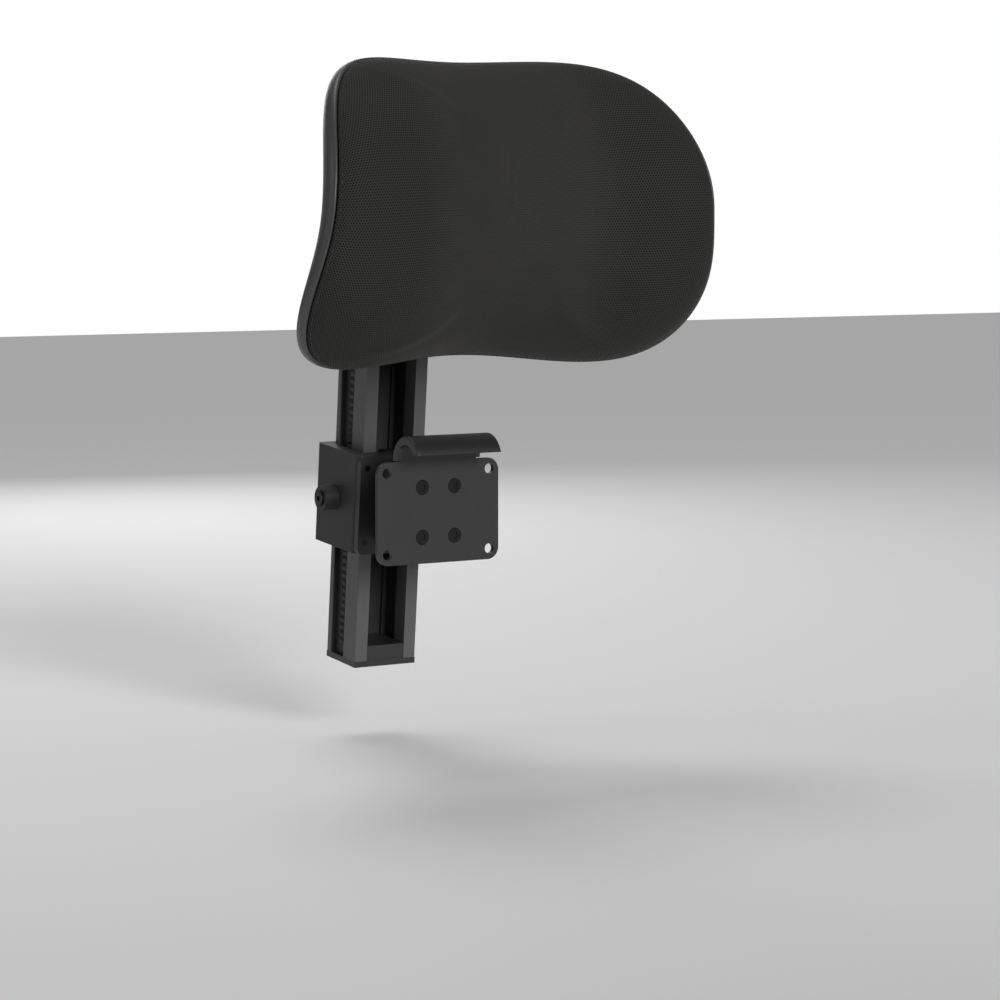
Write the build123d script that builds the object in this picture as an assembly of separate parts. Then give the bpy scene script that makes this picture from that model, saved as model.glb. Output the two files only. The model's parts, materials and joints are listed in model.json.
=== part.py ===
"""Height-adjustable, tilting headrest attachment for an office chair.

Millimetres, +Z up, -Y towards the sitter, +X to the right of a person looking at the front.
The origin is the centre of the mounting plate's front face, which bears on the rear of the backrest.
"""
from build123d import *
import math
import os

# ---- mounting plate and hook over the backrest's top edge ----
plate_width = 90.0
plate_height = 66.0
plate_thickness = 3.0
plate_corner = 8.0
mount_spacing_x = 76.0
mount_spacing_z = 52.0
mount_hole_radius = 3.3
hook_width = 56.0
hook_gap = 22.0              # plate face to the inside of the lip, the width of the half-round hook
hook_lip_drop = 5.9          # lip's edge below the underside of the hook's crest
cover_wall = 2.5
cover_cheek = 3.0
cover_edge = 1.2             # rounding of the cover's outer ends
cover_foot_gap = 0.7         # cover's rear foot above the plate's top edge
liner_thickness = 1.5
liner_side_gap = 2.0
liner_edge_gap = 1.0
liner_reach = 4.0            # liner's run behind the crest

# ---- standoff arm between the plate and the guide collar ----
arm_width = 36.0
arm_low_z = -24.0
arm_high_z = 26.0
arm_wall = 5.0
arm_front_wall = 8.0
arm_flange = 5.0
arm_screw_x = 12.0
arm_screw_z = 16.0
arm_screw_radius = 2.5

# ---- stem: aluminium extrusion with two grooved rails ----
stem_lean = 5.4              # degrees, leaning forward as it rises
stem_face_y = 60.0           # stem's front face at the origin's height
stem_width = 45.8
stem_depth = 38.3
stem_edge = 0.6              # chamfer along the stem's corners
rail_width = 9.0
front_flange = 16.0          # side face in front of an outer groove
rear_lip = 4.8
inner_flange = 13.2          # side face in front of an inner groove
inner_lip = 2.3              # between an inner groove and the web
outer_groove = 3.4
inner_groove = 3.0
web_thickness = 3.0
web_rear_gap = 2.1           # web's rear face ahead of the stem's rear face
stem_low = -105.0            # along the stem, from the origin's height
stem_high = 215.0

# ---- toothed racks in the outer grooves ----
rack_base = 1.2
rack_tooth = 1.2
rack_pitch = 5.0
tooth_flank = 0.4            # share of the pitch that each flank of a tooth takes
rack_width = 5.5
rack_edge_gap = 2.5
rack_low = -98.0
rack_teeth = 48

# ---- guide collar, slide block and guide shoes ----
slide_gap = 0.3              # clearance round everything that slides
collar_half_width = 32.0
collar_low = -30.0
collar_high = 35.0
collar_front_wall = 8.0
collar_rear_wall = 8.0
collar_split = 10.0          # joint between the halves, behind the stem's front face
collar_corner = 4.0
collar_screw_x = 27.0
collar_screw_low = -22.0
collar_screw_high = 27.0
collar_screw_radius = 2.0
collar_screw_head_radius = 3.5
collar_screw_head = 4.0
block_low = -26.0
block_high = 31.0
block_core_half = 7.5
block_front_wall = 10.0
block_screw_z = 15.0
block_screw_radius = 2.0
block_screw_cover = 1.0      # left between the screws' points and the block's core
shoe_low = -17.0
shoe_high = 21.0
shoe_seat = 2.7              # how far a shoe is let into the collar wall

# ---- sprung detent plungers ----
plunger_z = 2.0
plunger_radius = 2.4
plunger_fit = 0.05
plunger_flange_radius = 3.4
plunger_flange = 2.0
plunger_tail_radius = 1.8
plunger_tail = 3.8
plunger_tip = 1.6
plunger_tip_radius = 0.8
spring_chamber_radius = 3.6
spring_chamber_start = 29.0
plunger_flange_start = 30.2
spring_outer = 3.3
spring_inner = 2.3
detent_boss_radius = 8.0
detent_boss_end = 42.0
detent_cap_radius = 5.0
detent_cap_depth = 2.5
detent_cap_head = 1.5
detent_cap_socket = 2.0
detent_cap_socket_depth = 3.0

# ---- stem ends ----
foot_cap_thickness = 4.0
foot_tongue = 10.0
foot_screw_x = 7.0
top_cap_thickness = 3.0
top_cap_tongue = 1.8
plug_gap = 0.2               # clearance of the caps' tongues and the head casting in the stem
small_screw_radius = 2.0
small_screw_length = 12.0

# ---- tilt pivot and stem head casting ----
pivot_y = 20.0
pivot_z = 191.0
pivot_radius = 4.0
pivot_fit = 0.05
pivot_head_radius = 7.0
pivot_head = 4.0
pivot_socket = 3.0
pivot_socket_depth = 2.5
washer_thickness = 0.5
washer_radius = 8.0
lug_gap = 0.3                # between the moving lug and the washers
lug_half = 8.2
ear_thickness = 6.0
ear_radius = 10.0
lug_radius = 9.5
head_sweep_gap = 2.0
head_block_low = 152.0
head_block_high = 213.0
head_bridge_low = 172.0
head_bridge = 8.0
head_screw_low = 160.0
head_screw_high = 178.0

# ---- head plate on the back shell ----
head_plate_width = 72.0
head_plate_height = 52.0
head_plate_thickness = 4.0
head_plate_corner = 6.0
head_plate_y = 0.0           # front face of the head plate
head_screw_x = 27.0
head_screw_z = 17.0
head_screw_radius = 2.5
head_screw_head_radius = 4.5
head_screw_head = 3.0
head_screw_grip = 9.0        # length of screw held in an insert
insert_radius = 3.6
insert_length = 10.0
insert_gap = 0.3             # between the inserts and the shell's inner face
shell_boss_radius = 7.5
carrier_boss_radius = 6.0

# ---- cushion: a mid surface bent in plan, with the fabric pad in front and the shell behind ----
pad_half_length = 171.0      # along the mid surface, from the centre to the wing tip
pad_top = 93.5
pad_bottom = 90.0
pad_top_rise = 12.0          # extra height of the shoulders over the centre
pad_bottom_rise = 12.0
pad_top_power = 2.3          # superellipse powers of the outline
pad_bottom_power = 3.3
pad_front_depth = 50.0
pad_back_depth = 32.0
pad_wing_taper = 0.2         # share of the depth lost at the wing tips
pad_edge_power = 3.8
wing_angle = 39.0            # heading of the wings, degrees
wing_reach = 76.0
centre_bow = 21.0            # the middle stands forward of the top and bottom edges
bow_height = 100.0           # height over which the mid surface falls back by the bow
corner_sweep = 27.0
corner_twist = 13.0
pad_mid_y = -17.0
shell_wall = 2.6
cover_thickness = 2.0
foam_gap = 0.4               # the foam's clearance inside the cover and in front of the carrier
carrier_inset = 9.0
carrier_thickness = 4.0
shell_screw_u = 96.0
shell_screw_z = 40.0
shell_screw_radius = 1.75
shell_screw_head_radius = 3.5
shell_screw_head = 1.8
shell_screw_length = 15.0
shell_screw_sink = 0.8       # how far a screw's head is let into the shell
tower_radius = 4.5
tower_foot = 1.0             # how far a tower's foot runs into the panel
face_levels = 15             # points up a section of the pad's face
base_levels = 7              # points up a flat section
seam_overrun = 1.0           # how far a hollow is cut past the mid surface

# ---- worked-out places ----
far = 150.0                  # beyond every face, for blocks that cut or keep
plate_top_z = plate_height / 2
arch_radius = hook_gap / 2
arch_y = -arch_radius
arch_z = plate_top_z + cover_foot_gap
lip_low_z = arch_z + arch_radius - hook_lip_drop
stem_half = stem_width / 2
rail_inner = stem_half - rail_width
outer_floor = stem_half - outer_groove
inner_floor = rail_inner + inner_groove
groove_front = front_flange
groove_back = stem_depth - rear_lip
web_back = stem_depth - web_rear_gap
web_front = web_back - web_thickness
inner_groove_back = web_front - inner_lip
cavity_half = stem_half + slide_gap
cavity_front = -slide_gap
cavity_back = stem_depth + slide_gap
collar_front_y = cavity_front - collar_front_wall
collar_back_y = cavity_back + collar_rear_wall
rack_front = groove_front + rack_edge_gap
rack_back = rack_front + rack_width
tooth_tip = outer_floor + rack_base + rack_tooth
plunger_y = (rack_front + rack_back) / 2
shoe_front = plunger_y + spring_chamber_radius + slide_gap
shoe_back = groove_back - slide_gap
ear_inner = lug_half + lug_gap + washer_thickness
ear_outer = ear_inner + ear_thickness

stem_place = Location((0, stem_face_y, 0), (stem_lean, 0, 0))
lean = math.radians(stem_lean)
pivot_along = (stem_face_y - pivot_y) * math.sin(lean) + pivot_z * math.cos(lean)
pivot_ahead = (stem_face_y - pivot_y) * math.cos(lean) - pivot_z * math.sin(lean)


def block(x_span, y_span, z_span):
    """A box between two limits on each axis."""
    size = [b - a for a, b in (x_span, y_span, z_span)]
    centre = [(a + b) / 2 for a, b in (x_span, y_span, z_span)]
    return Pos(*centre) * Box(*size)


def rod_x(radius, x_span, y, z):
    return Pos(sum(x_span) / 2, y, z) * Rot(0, 90, 0) * Cylinder(radius, x_span[1] - x_span[0])


def rod_y(radius, y_span, x, z):
    return Pos(x, sum(y_span) / 2, z) * Rot(90, 0, 0) * Cylinder(radius, y_span[1] - y_span[0])


def rod_z(radius, z_span, x, y):
    return Pos(x, y, sum(z_span) / 2) * Cylinder(radius, z_span[1] - z_span[0])


def sunk_screw_y(radius, y_head, y_end, x, z):
    """A countersunk screw along Y with its head's face at y_head and its point at y_end."""
    way = 1 if y_end > y_head else -1
    turn = -90 * way
    head = Pos(x, y_head + way * radius / 2, z) * Rot(turn, 0, 0) * Cone(radius * 2, radius, radius)
    shank = rod_y(radius, sorted((y_head + way * radius, y_end)), x, z)
    return head + shank


def hex_socket(radius, depth, face_x, y, z):
    """A hexagonal hole sunk from a face that looks along +X."""
    return Pos(face_x, y, z) * Rot(0, 90, 0) * extrude(RegularPolygon(radius, 6), depth, both=True)


def four(places_x, places_z):
    """The four corners of a pattern given by two X and two Z places."""
    return [(x, z) for x in places_x for z in places_z]


def both(x):
    return (-x, x)


def mirror_x(shape):
    return mirror(shape, about=Plane.YZ)


def joined(pieces):
    """Separate solids kept together as one node."""
    return Compound(children=[solid for piece in pieces for solid in piece.solids()])


def save(name, shape):
    solids = shape.solids()
    export_step(solids[0] if len(solids) == 1 else Compound(children=solids), f"parts/{name}.step")


# ---- bracket ----
def round_bar(radius, half):
    """A bar along X with a round top, as wide as its round, standing far down over the backrest's edge."""
    leg = block(both(half), (arch_y - radius, arch_y + radius), (arch_z - far, arch_z))
    return leg + rod_x(radius, both(half), arch_y, arch_z)


def arch(outer, half, foot_z):
    """A half-round strip over the backrest's edge, ending at the lip in front and at foot_z behind."""
    strip = round_bar(outer, half) - round_bar(arch_radius, half + 1)
    front = block(both(half), (arch_y - outer, arch_y), (lip_low_z, arch_z + outer))
    back = block(both(half), (arch_y, arch_y + outer), (foot_z, arch_z + outer))
    return strip & (front + back)


def hook_strip():
    return arch(arch_radius + plate_thickness, hook_width / 2, plate_top_z - plate_corner)


def make_hook_plate():
    flat = Plane.XZ * RectangleRounded(plate_width, plate_height, plate_corner)
    plate = extrude(flat, -plate_thickness) + hook_strip()
    for x, z in four(both(mount_spacing_x / 2), both(mount_spacing_z / 2)):
        plate -= rod_y(mount_hole_radius, (-1, plate_thickness + 1), x, z)
    return plate - make_plate_screws()


def make_plate_screws():
    """Countersunk screws, flush with the plate's front face and tapped into the arm's front wall."""
    reach = plate_thickness + arm_front_wall
    return joined([sunk_screw_y(arm_screw_radius, 0, reach, x, z)
                   for x, z in four(both(arm_screw_x), both(arm_screw_z))])


def make_hook_cover():
    outer = arch_radius + plate_thickness + cover_wall
    shell = arch(outer, hook_width / 2 + cover_cheek, arch_z)
    ends = [edge for edge in shell.edges().filter_by(GeomType.CIRCLE) if edge.radius > outer - cover_wall / 2]
    return fillet(ends, cover_edge) - hook_strip()


def make_hook_pad():
    half = hook_width / 2 - liner_side_gap
    ring = rod_x(arch_radius, both(half), arch_y, arch_z)
    ring -= rod_x(arch_radius - liner_thickness, both(half + 1), arch_y, arch_z)
    return ring & block(both(half), (arch_y - arch_radius, arch_y + liner_reach),
                        (lip_low_z + liner_edge_gap, arch_z + arch_radius))


def make_standoff_arm():
    across = (-arm_width / 2, arm_width / 2)
    arm = block(across, (plate_thickness, stem_face_y), (arm_low_z, arm_high_z))
    arm = fillet(arm.edges().filter_by(Axis.Y), arm_wall / 2)
    arm -= stem_place * block((-far, far), (collar_front_y, far), (-far, far))
    flange = block(both(collar_half_width), (collar_front_y - arm_flange, collar_front_y),
                   (collar_low, collar_high))
    flange = stem_place * fillet(flange.edges().filter_by(Axis.Y), collar_corner)
    core_back = stem_face_y + (collar_front_y - arm_flange) - arm_high_z * math.sin(lean) - arm_wall
    core = block((across[0] + arm_wall, across[1] - arm_wall),
                 (plate_thickness + arm_front_wall, core_back), (arm_low_z - 1, arm_high_z - arm_wall))
    return arm + flange - core - make_plate_screws() - make_collar_screws() - make_block_screws()


# ---- guide collar ----
def collar_block(y_span):
    body = block(both(collar_half_width), (collar_front_y, collar_back_y), (collar_low, collar_high))
    body = fillet(body.edges().filter_by(Axis.Z), collar_corner)
    body -= block(both(cavity_half), (cavity_front, cavity_back), (collar_low - 1, collar_high + 1))
    return body & block((-far, far), y_span, (collar_low, collar_high))


def make_collar_front():
    body = stem_place * collar_block((collar_front_y, collar_split))
    return body - make_collar_screws() - make_block_screws()


def make_collar_rear():
    body = collar_block((collar_split, collar_back_y))
    for side in (-1, 1):
        boss = rod_x(detent_boss_radius, sorted((side * collar_half_width, side * detent_boss_end)),
                     plunger_y, plunger_z)
        body += boss
        body -= rod_x(plunger_radius + plunger_fit, sorted((side * stem_half, side * detent_boss_end)),
                      plunger_y, plunger_z)
        body -= rod_x(spring_chamber_radius, sorted((side * spring_chamber_start, side * detent_boss_end)),
                      plunger_y, plunger_z)
        body -= rod_x(detent_cap_radius, sorted((side * (detent_boss_end - detent_cap_depth),
                                                 side * (detent_boss_end + 1))), plunger_y, plunger_z)
        body -= shoe_block(side)
    return stem_place * body - make_collar_screws()


def shoe_block(side):
    across = sorted((side * (outer_floor + slide_gap), side * (cavity_half + shoe_seat)))
    return block(across, (shoe_front, shoe_back), (shoe_low, shoe_high))


def make_collar_screws():
    """Socket-head screws from the rear, through both halves, tapped into the arm's flange."""
    head_y = collar_back_y - collar_screw_head
    screws = []
    for x, z in four(both(collar_screw_x), (collar_screw_low, collar_screw_high)):
        shank = rod_y(collar_screw_radius, (collar_front_y - arm_flange, head_y), x, z)
        head = rod_y(collar_screw_head_radius, (head_y, collar_back_y), x, z)
        screws.append(stem_place * (shank + head))
    return joined(screws)


def make_slide_block():
    """Acetal block inside the stem, with an ear in each inner groove, screwed to the collar's front half."""
    half = rail_inner - slide_gap
    ear = inner_floor - slide_gap
    body = block(both(half), (cavity_front, web_front - slide_gap), (block_low, block_high))
    body += block(both(ear), (inner_flange + slide_gap, inner_groove_back - slide_gap),
                  (block_low, block_high))
    body -= block(both(block_core_half), (block_front_wall, web_front), (block_low - 1, block_high + 1))
    return stem_place * body - make_block_screws()


def make_block_screws():
    reach = block_front_wall - block_screw_cover
    return joined([stem_place * sunk_screw_y(block_screw_radius, collar_front_y, reach, 0, z)
                   for z in both(block_screw_z)])


def make_plunger():
    tip = tooth_tip + slide_gap
    axis = (plunger_y, plunger_z)
    nose = Pos(tip + plunger_tip / 2, *axis) * Rot(0, 90, 0) * Cone(plunger_tip_radius, plunger_radius,
                                                                     plunger_tip)
    flange_end = plunger_flange_start + plunger_flange
    shape = nose + rod_x(plunger_radius, (tip + plunger_tip, plunger_flange_start), *axis)
    shape += rod_x(plunger_flange_radius, (plunger_flange_start, flange_end), *axis)
    shape += rod_x(plunger_tail_radius, (flange_end, flange_end + plunger_tail), *axis)
    return stem_place * shape


def make_detent_spring():
    """The compression spring's envelope, from the plunger's flange to the threaded cap."""
    span = (plunger_flange_start + plunger_flange, detent_boss_end - detent_cap_depth)
    tube = rod_x(spring_outer, span, plunger_y, plunger_z) - rod_x(spring_inner, span, plunger_y, plunger_z)
    return stem_place * tube


def make_plunger_cap():
    span = (detent_boss_end - detent_cap_depth, detent_boss_end + detent_cap_head)
    cap = rod_x(detent_cap_radius, span, plunger_y, plunger_z)
    return stem_place * (cap - hex_socket(detent_cap_socket, detent_cap_socket_depth, span[1],
                                          plunger_y, plunger_z))


# ---- stem ----
def make_stem_rail():
    stem = block(both(stem_half), (0, stem_depth), (stem_low, stem_high))
    stem = chamfer(stem.edges().filter_by(Axis.Z), stem_edge)
    length = (stem_low - 1, stem_high + 1)
    stem -= block(both(rail_inner), (-1, web_front), length)
    stem -= block(both(rail_inner), (web_back, stem_depth + 1), length)
    for side in (-1, 1):
        outer = sorted((side * outer_floor, side * (stem_half + 1)))
        inner = sorted((side * (rail_inner - 1), side * inner_floor))
        stem -= block(outer, (groove_front, groove_back), length)
        stem -= block(inner, (inner_flange, inner_groove_back), length)
    stem -= make_foot_cap_screws() + make_stem_head_screws()
    return stem_place * stem


def stem_screws(places):
    """Countersunk screws from the rear through the stem's web."""
    screws = []
    for x, z in places:
        shank = rod_y(small_screw_radius, (web_back - small_screw_length, web_back), x, z)
        head = rod_y(2 * small_screw_radius, (web_back, web_back + small_screw_radius), x, z)
        screws.append(shank + head)
    return joined(screws)


def make_foot_cap_screws():
    return stem_screws([(x, stem_low + foot_tongue / 2) for x in both(foot_screw_x)])


def make_stem_head_screws():
    return stem_screws([(0, head_screw_low), (0, head_screw_high)])


def make_rack():
    """A toothed strip on the floor of the right-hand outer groove."""
    root_x = outer_floor + rack_base
    points = [(outer_floor, rack_low), (root_x, rack_low)]
    for tooth in range(rack_teeth):
        start = rack_low + tooth * rack_pitch
        points += [(tooth_tip, start + tooth_flank * rack_pitch),
                   (tooth_tip, start + (1 - tooth_flank) * rack_pitch), (root_x, start + rack_pitch)]
    points.append((outer_floor, rack_low + rack_teeth * rack_pitch))
    profile = make_face(Polyline(*points, close=True))
    strip = extrude(Plane((0, rack_back, 0), x_dir=(1, 0, 0), z_dir=(0, -1, 0)) * profile, rack_width)
    return stem_place * strip


def make_foot_cap():
    plate = block(both(stem_half), (0, stem_depth), (stem_low - foot_cap_thickness, stem_low))
    tongue = block(both(rail_inner - plug_gap), (plug_gap, web_front), (stem_low, stem_low + foot_tongue))
    return stem_place * (plate + tongue - make_foot_cap_screws())


def make_top_cap():
    plate = block(both(stem_half), (0, stem_depth), (stem_high, stem_high + top_cap_thickness))
    tongue = block(both(rail_inner - plug_gap), (plug_gap, web_front),
                   (stem_high - top_cap_tongue, stem_high))
    return stem_place * (plate + tongue)


def make_stem_head():
    """Casting bolted into the top of the stem, with two ears that carry the tilt pivot."""
    pivot_local_y = -pivot_ahead
    body = block(both(rail_inner - plug_gap), (0, web_front), (head_block_low, head_block_high))
    body += block(both(ear_outer), (-head_bridge, 0), (head_bridge_low, head_block_high))
    body += block(both(ear_outer), (pivot_local_y, -head_bridge),
                  (pivot_along - ear_radius, pivot_along + ear_radius))
    body += rod_x(ear_radius, both(ear_outer), pivot_local_y, pivot_along)
    slot = rod_x(lug_radius + head_sweep_gap, both(ear_inner), pivot_local_y, pivot_along)
    slot += block(both(ear_inner), (pivot_local_y - 2 * ear_radius, pivot_local_y),
                  (pivot_along - 2 * ear_radius, pivot_along + 2 * ear_radius))
    body -= slot
    body -= make_stem_head_screws()
    return stem_place * body - pivot_shank()


# ---- tilt pivot ----
def pivot_shank():
    end = ear_outer + washer_thickness
    return rod_x(pivot_radius, (-end - pivot_head, end), pivot_y, pivot_z)


def make_pivot_bolt():
    end = ear_outer + washer_thickness
    bolt = pivot_shank() + rod_x(pivot_head_radius, (end, end + pivot_head), pivot_y, pivot_z)
    return bolt - hex_socket(pivot_socket, pivot_socket_depth, end + pivot_head, pivot_y, pivot_z)


def make_pivot_nut():
    end = ear_outer + washer_thickness
    nut = Pos(-end, pivot_y, pivot_z) * Rot(0, -90, 0) * extrude(
        RegularPolygon(pivot_head_radius, 6), pivot_head)
    return nut - pivot_shank()


def make_washers():
    rings = []
    for side in (-1, 1):
        for start in (ear_inner - washer_thickness, ear_outer):
            span = sorted((side * start, side * (start + washer_thickness)))
            rings.append(rod_x(washer_radius, span, pivot_y, pivot_z) - rod_x(pivot_radius, span,
                                                                              pivot_y, pivot_z))
    return joined(rings)


# ---- cushion ----
def heading(u):
    return math.radians(wing_angle) * math.tanh(u / wing_reach)


def plan_place(u):
    """Distance across and forward of the mid surface at a length u from its centre."""
    steps = 24
    middles = [(i + 0.5) * u / steps for i in range(steps)]
    across = sum(math.cos(heading(m)) for m in middles) * u / steps
    forward = sum(math.sin(heading(m)) for m in middles) * u / steps
    return across, forward


def pad_point(u, z, offset):
    """A point in front of the mid surface (offset above zero) or behind it."""
    across, forward = plan_place(u)
    share = (u / pad_half_length) ** 2
    level = z / bow_height
    shift = centre_bow * (1 - level ** 2) + share * level * (corner_twist - corner_sweep * level)
    reach = offset + shift
    turn = heading(u)
    return Vector(across - reach * math.sin(turn), pad_mid_y - forward - reach * math.cos(turn), pivot_z + z)


def edge_height(u, inset, top):
    """Height of the cushion's outline at u, above the centre line or below it."""
    power = pad_top_power if top else pad_bottom_power
    full, rise = (pad_top, pad_top_rise) if top else (pad_bottom, pad_bottom_rise)
    share = (u / (pad_half_length - inset)) ** 2
    tallest = full - inset + rise * 4 * share * (1 - share)
    return tallest, (1 - abs(u / (pad_half_length - inset)) ** power) ** (1 / power)


def pad_depth(u, z, inset, depth):
    """Distance of the pad's face from the mid surface at (u, z)."""
    top = z > 0
    power = pad_top_power if top else pad_bottom_power
    tallest = edge_height(u, inset, top)[0]
    across = abs(u / (pad_half_length - inset)) ** power
    radius = (across + abs(z / tallest) ** power) ** (1 / power)
    taper = 1 - pad_wing_taper * (u / pad_half_length) ** 2
    return depth * taper * math.sqrt(max(0.0, 1 - radius ** pad_edge_power))


station_shares = (0, 0.2, 0.4, 0.55, 0.7, 0.8, 0.88, 0.94, 0.975, 0.99)
stations = [-s for s in reversed(station_shares[1:])] + list(station_shares)


def levels(u, inset, count):
    """Heights from the bottom edge to the top edge at u, closer together towards the edges."""
    top_tallest, top_share = edge_height(u, inset, True)
    low_tallest, low_share = edge_height(u, inset, False)
    shares = [math.sin(math.pi / 2 * (2 * i / (count - 1) - 1)) for i in range(count)]
    return [s * (top_tallest * top_share if s > 0 else low_tallest * low_share) for s in shares]


def half_pad(inset, depth, base):
    """The pad between its face and the mid surface moved by base: depth below zero is the rear half."""
    wires = []
    for share in stations:
        u = share * (pad_half_length - inset)
        base_points = [pad_point(u, z, base) for z in levels(u, inset, base_levels)]
        face_points = [pad_point(u, z, pad_depth(u, z, inset, depth))
                       for z in levels(u, inset, face_levels)[1:-1]]
        face_points = [base_points[0], *face_points, base_points[-1]]
        wires.append(Wire([Edge.make_spline(face_points), Edge.make_spline(base_points)]))
    return Solid.make_loft(wires, ruled=True)


def make_carrier_slab():
    wires = []
    for share in stations[2:-2]:
        u = share * (pad_half_length - carrier_inset)
        heights = levels(u, carrier_inset, base_levels)
        front = [pad_point(u, z, 0) for z in heights]
        back = [pad_point(u, z, -carrier_thickness) for z in heights]
        wires.append(Wire([Edge.make_spline(front), Edge.make_line(front[-1], back[-1]),
                           Edge.make_spline(back[::-1]), Edge.make_line(back[0], front[0])]))
    return Solid.make_loft(wires, ruled=True)


def normal_rod(radius, u, z, start, end):
    """A rod square to the mid surface at (u, z), between two offsets from it."""
    low = pad_point(u, z, start)
    way = pad_point(u, z, end) - low
    return Plane(origin=low, z_dir=way) * Pos(0, 0, way.length / 2) * Cylinder(radius, way.length)


def shell_face(u, z):
    return -abs(pad_depth(u, z, 0, pad_back_depth))


def make_shell_screws():
    screws = []
    for u, z in four(both(shell_screw_u), both(shell_screw_z)):
        face = shell_face(u, z)
        shank = normal_rod(shell_screw_radius, u, z, face + shell_screw_length, face)
        head = normal_rod(shell_screw_head_radius, u, z, face + shell_screw_sink, face - shell_screw_head)
        screws.append(shank + head)
    return joined(screws)


def head_screw_places():
    return four(both(head_screw_x), (pivot_z - head_screw_z, pivot_z + head_screw_z))


def inner_face_y(x, z):
    """Y of the shell's inner face at (x, z) from the pivot: it runs straight between the lofted sections."""
    inner_depth = shell_wall - pad_back_depth
    places = [share * (pad_half_length - shell_wall) for share in station_shares]
    points = [pad_point(u, z, pad_depth(u, z, shell_wall, inner_depth)) for u in places]
    beyond = next(i for i, point in enumerate(points) if point.X > x)
    near, next_one = points[beyond - 1], points[beyond]
    return near.Y + (x - near.X) / (next_one.X - near.X) * (next_one.Y - near.Y)


def insert_mouth():
    """Y of the inserts' rear ends, just in front of the shell's inner face round the head plate's screws."""
    corners = four((head_screw_x - insert_radius, head_screw_x + insert_radius),
                   (*both(head_screw_z - insert_radius), *both(head_screw_z + insert_radius)))
    return min(inner_face_y(x, z) for x, z in corners) - insert_gap


def make_head_screws():
    back = head_plate_y + head_plate_thickness
    front = insert_mouth() - head_screw_grip
    screws = []
    for x, z in head_screw_places():
        shank = rod_y(head_screw_radius, (front, back), x, z)
        screws.append(shank + rod_y(head_screw_head_radius, (back, back + head_screw_head), x, z))
    return joined(screws)


def make_head_plate():
    flat = Plane((0, head_plate_y, pivot_z), x_dir=(1, 0, 0), z_dir=(0, -1, 0))
    plate = extrude(flat * RectangleRounded(head_plate_width, head_plate_height, head_plate_corner),
                    -head_plate_thickness)
    plate += block(both(lug_half), (head_plate_y, pivot_y), (pivot_z - lug_radius, pivot_z + lug_radius))
    plate += rod_x(lug_radius, both(lug_half), pivot_y, pivot_z)
    plate -= rod_x(pivot_radius + pivot_fit, both(lug_half + 1), pivot_y, pivot_z)
    return plate - make_head_screws()


def make_cushion():
    """The back shell, the carrier panel, the foam, the cover and the threaded inserts."""
    mouth = insert_mouth()
    hollow = half_pad(shell_wall, -(pad_back_depth - shell_wall), seam_overrun)
    shell = half_pad(0, -pad_back_depth, 0)
    for x, z in head_screw_places():
        shell += rod_y(shell_boss_radius, (mouth - insert_radius, head_plate_y), x, z)
    head_screws = make_head_screws()
    shell_screws = make_shell_screws()
    shell = shell - hollow - head_screws - shell_screws
    carrier = make_carrier_slab()
    panel_y = pad_point(head_screw_x, head_screw_z, -carrier_thickness / 2).Y
    for x, z in head_screw_places():
        carrier += rod_y(carrier_boss_radius, (panel_y, head_plate_y), x, z) & hollow
    for u, z in four(both(shell_screw_u), both(shell_screw_z)):
        carrier += normal_rod(tower_radius, u, z, -tower_foot, shell_face(u, z)) & hollow
    inserts = []
    for x, z in head_screw_places():
        sleeve = rod_y(insert_radius, (mouth - insert_length, mouth), x, z)
        carrier -= rod_y(insert_radius, (mouth - insert_length, head_plate_y), x, z)
        inserts.append(sleeve - head_screws)
    carrier = carrier - head_screws - shell_screws
    foam_inset = cover_thickness + foam_gap
    foam = half_pad(foam_inset, pad_front_depth - foam_inset, foam_gap)
    cover_hollow = half_pad(cover_thickness, pad_front_depth - cover_thickness, -seam_overrun)
    cover = half_pad(0, pad_front_depth, 0) - cover_hollow
    return {"back_shell": shell, "carrier_panel": carrier, "threaded_inserts": joined(inserts),
            "foam_pad": foam, "cover_fabric": cover, "shell_screws": shell_screws,
            "head_plate_screws": head_screws}


def main():
    os.makedirs("parts", exist_ok=True)
    nodes = {
        "hook_plate": make_hook_plate(),
        "hook_cover": make_hook_cover(),
        "hook_pad": make_hook_pad(),
        "plate_screws": make_plate_screws(),
        "standoff_arm": make_standoff_arm(),
        "collar_front": make_collar_front(),
        "collar_rear": make_collar_rear(),
        "collar_screws": make_collar_screws(),
        "slide_block": make_slide_block(),
        "block_screws": make_block_screws(),
        "guide_shoe_right": stem_place * shoe_block(1),
        "guide_shoe_left": stem_place * shoe_block(-1),
        "detent_plunger_right": make_plunger(),
        "detent_plunger_left": mirror_x(make_plunger()),
        "detent_spring_right": make_detent_spring(),
        "detent_spring_left": mirror_x(make_detent_spring()),
        "plunger_cap_right": make_plunger_cap(),
        "plunger_cap_left": mirror_x(make_plunger_cap()),
        "stem_rail": make_stem_rail(),
        "rack_right": make_rack(),
        "rack_left": mirror_x(make_rack()),
        "stem_foot_cap": make_foot_cap(),
        "foot_cap_screws": stem_place * make_foot_cap_screws(),
        "stem_top_cap": make_top_cap(),
        "stem_head": make_stem_head(),
        "stem_head_screws": stem_place * make_stem_head_screws(),
        "pivot_bolt": make_pivot_bolt(),
        "pivot_nut": make_pivot_nut(),
        "friction_washers": make_washers(),
        "head_plate": make_head_plate(),
    }
    nodes.update(make_cushion())
    for name, shape in nodes.items():
        save(name, shape)


main()
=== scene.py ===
"""Looks for a chair headrest attachment: a winged mesh-fabric cushion on a grooved stem."""
import json
import math

import bmesh
import bpy
import numpy as np
from mathutils import Matrix, Vector


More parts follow.
